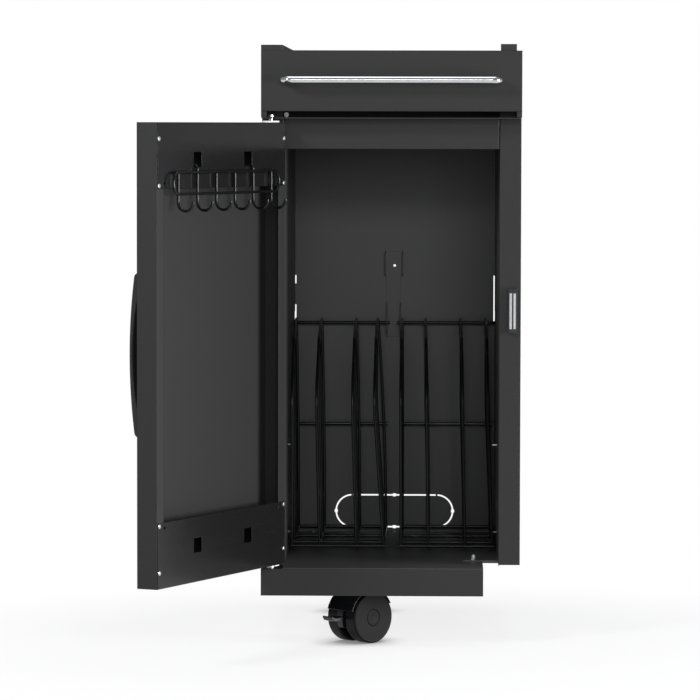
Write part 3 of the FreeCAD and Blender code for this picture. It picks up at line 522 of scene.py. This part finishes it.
bolt_x, bolt_y, bracket_top = 129.0, 105 + 40 / 3, 124.2
bolt_profile = [
    (0, 0), (4.7, 0), (4.7, 6.2), (4.4, 7.0), (3.6, 7.4), (2.6, 7.4), (2.4, 5.2), (0, 5.2),
]
bolt = spun([(radius, 0, z) for radius, z in bolt_profile], (0, 0, 1), 32)
bolt_place = millimetres @ Matrix.Translation((bolt_x, bolt_y, bracket_top))
finished(bolt, "recessed_bolt", zinc, 0, bolt_place, "cabinet", "bracket_bolt")

# The casters' wheels are smooth black polyurethane with a dished, ribbed inner side. A
# moulded disc of matt plastic with a ringed face closes the outer side.
tread_plastic, tree, shader = surface("black_polyurethane", shine=0.16)
grain(tree, shader, size=0.004, height=0.00001, rough=(0.3, 0.42),
      dark=(0.002, 0.002, 0.0024), light=(0.004, 0.004, 0.0045))
disc_plastic, tree, shader = surface("matt_black_moulding", shine=0.12)
grain(tree, shader, size=0.001, height=0.00002, rough=(0.5, 0.62),
      dark=(0.003, 0.003, 0.0032), light=(0.006, 0.006, 0.0062))
axle_y, axle_z = -26, 40
tread_profile = [
    (8.0, 4.05), (8.0, 11.6), (8.4, 12.0), (10.6, 12.4), (11.0, 12.9), (11.0, 33.0),
    (10.6, 33.5), (8.4, 34.0), (8.0, 34.5), (8.0, 37.2), (8.6, 38.7), (9.8, 39.6),
    (11.5, 40.0), (28.2, 40.0), (29.2, 39.8), (29.6, 39.2), (29.0, 38.5), (29.0, 4.05),
    (8.0, 4.05),
]
disc_profile = [
    (29.0, 0.0), (29.0, 38.4), (29.8, 39.3), (30.6, 39.3), (31.3, 38.7), (31.7, 37.6),
    (31.7, 36.9), (31.5, 36.2), (31.4, 35.4), (31.4, 34.4), (31.4, 14.6), (31.3, 13.7),
    (30.6, 13.2), (30.4, 12.6), (30.6, 12.0), (31.2, 11.6), (31.4, 10.8), (31.4, 6.6),
    (31.0, 5.9), (30.9, 5.0), (30.9, 0.0),
]
rib_outline = [(-0.7, 12.2), (0.7, 12.2), (0.7, 33.8), (-0.7, 33.8)]
rib_inside, rib_outside, rib_count = 8.3, 11.1, 18


def wheel_parts(side):
    """One wheel's tread and disc as meshes on the caster's axle, for its right or left side."""
    tread = spun([(side * x, 0, radius) for x, radius in tread_profile], (1, 0, 0), 72)
    low, high = sorted((side * rib_inside, side * rib_outside))
    for spoke in range(rib_count):
        rib = extruded(tread, rib_outline, low, high)
        turn = math.radians((spoke + 0.5) * 360 / rib_count)
        bmesh.ops.rotate(tread, verts=rib, cent=(0, 0, 0), matrix=Matrix.Rotation(turn, 3, "X"))
    disc = spun([(side * x, 0, radius) for x, radius in disc_profile], (1, 0, 0), 72)
    for mesh in (tread, disc):
        bmesh.ops.translate(mesh, verts=mesh.verts, vec=(0, axle_y, axle_z))
    return tread, disc


# Each caster's hood covers both wheels and is moulded in one piece with its neck and
# with the web between the wheels, from a hard glossy plastic.
hood_plastic, tree, shader = surface("glossy_black_plastic")
grain(tree, shader, size=0.002, height=0.00001, rough=(0.14, 0.24),
      dark=(0.003, 0.0032, 0.004), light=(0.006, 0.0065, 0.0075))
hood_outside, hood_inside, hood_half, hood_edge = 44.2, 42.2, 28.6, 0.0005
web_radius, web_half = 42.9, 6.0
neck_bottom, neck_top, neck_height, neck_middle = 13, 15.5, 33, 100


def arc(radius, angles):
    """The (y, z) points at these angles on a circle round the axle."""
    turns = [math.radians(angle) for angle in angles]
    return [(axle_y + radius * math.cos(turn), axle_z + radius * math.sin(turn)) for turn in turns]


hood_angles = [27 + step * 7.6 for step in range(19)]
hood_outline = arc(hood_outside, hood_angles) + arc(hood_inside, hood_angles[::-1])
web_outline = arc(web_radius, [-20 + step * 8.46 for step in range(27)])
web_outline += [(-50, 22), (-38, 15), (-14, 15), (-2, 22)]

# The pedal is moulded plastic. Its broad pad curls up at the tip, and a narrow arm
# reaches in between the wheels to the cross pin that it turns on.
pedal_outline = [
    (-50.5, 42.0), (-51.5, 44.5), (-56, 47.2), (-60, 46.0), (-71, 43.2), (-82, 41.6),
    (-89, 42.6), (-93.6, 45.2), (-94.8, 43.6), (-92, 38.6), (-85, 36.4), (-71, 38.2),
    (-60, 39.0), (-56, 38.6), (-51.5, 40.5),
]
pad_half, arm_half, arm_end, pedal_edge = 11.0, 2.8, -72, 0.0006
pad_outline = pedal_outline[4:12]
arm_outline = [(y, z) for y, z in pedal_outline if y > arm_end]
stem_x = -29.5
for end, stem_y, swivel in (("front", 92.0, 46.4), ("rear", 468.0, 80.0)):
    place = (
        millimetres @ Matrix.Translation((stem_x, stem_y, 0))
        @ Matrix.Rotation(math.radians(-swivel), 4, "Z")
    )
    for name, side in (("right", 1), ("left", -1)):
        tread, disc = wheel_parts(side)
        wheel = end + "_" + name
        for mesh, paint, part in ((tread, tread_plastic, "_tread"), (disc, disc_plastic, "_disc")):
            finished(mesh, wheel + part, paint, 0, place, wheel + "_wheel",
                     wheel + "_wheel")
    hood = bmesh.new()
    extruded(hood, hood_outline, -hood_half, hood_half)
    extruded(hood, web_outline, -web_half, web_half)
    neck = bmesh.ops.create_cone(hood, cap_ends=True, segments=40, radius1=neck_bottom,
                                 radius2=neck_top, depth=neck_height)["verts"]
    bmesh.ops.translate(hood, verts=neck, vec=(0, 0, neck_middle))
    finished(hood, end + "_hood", hood_plastic, hood_edge, place, end + "_caster",
             end + "_caster_body")
    pedal = bmesh.new()
    extruded(pedal, pad_outline, -pad_half, pad_half)
    extruded(pedal, arm_outline, -arm_half, arm_half)
    finished(pedal, end + "_pedal", moulded, pedal_edge, place, end + "_brake",
             end + "_brake_pedal")
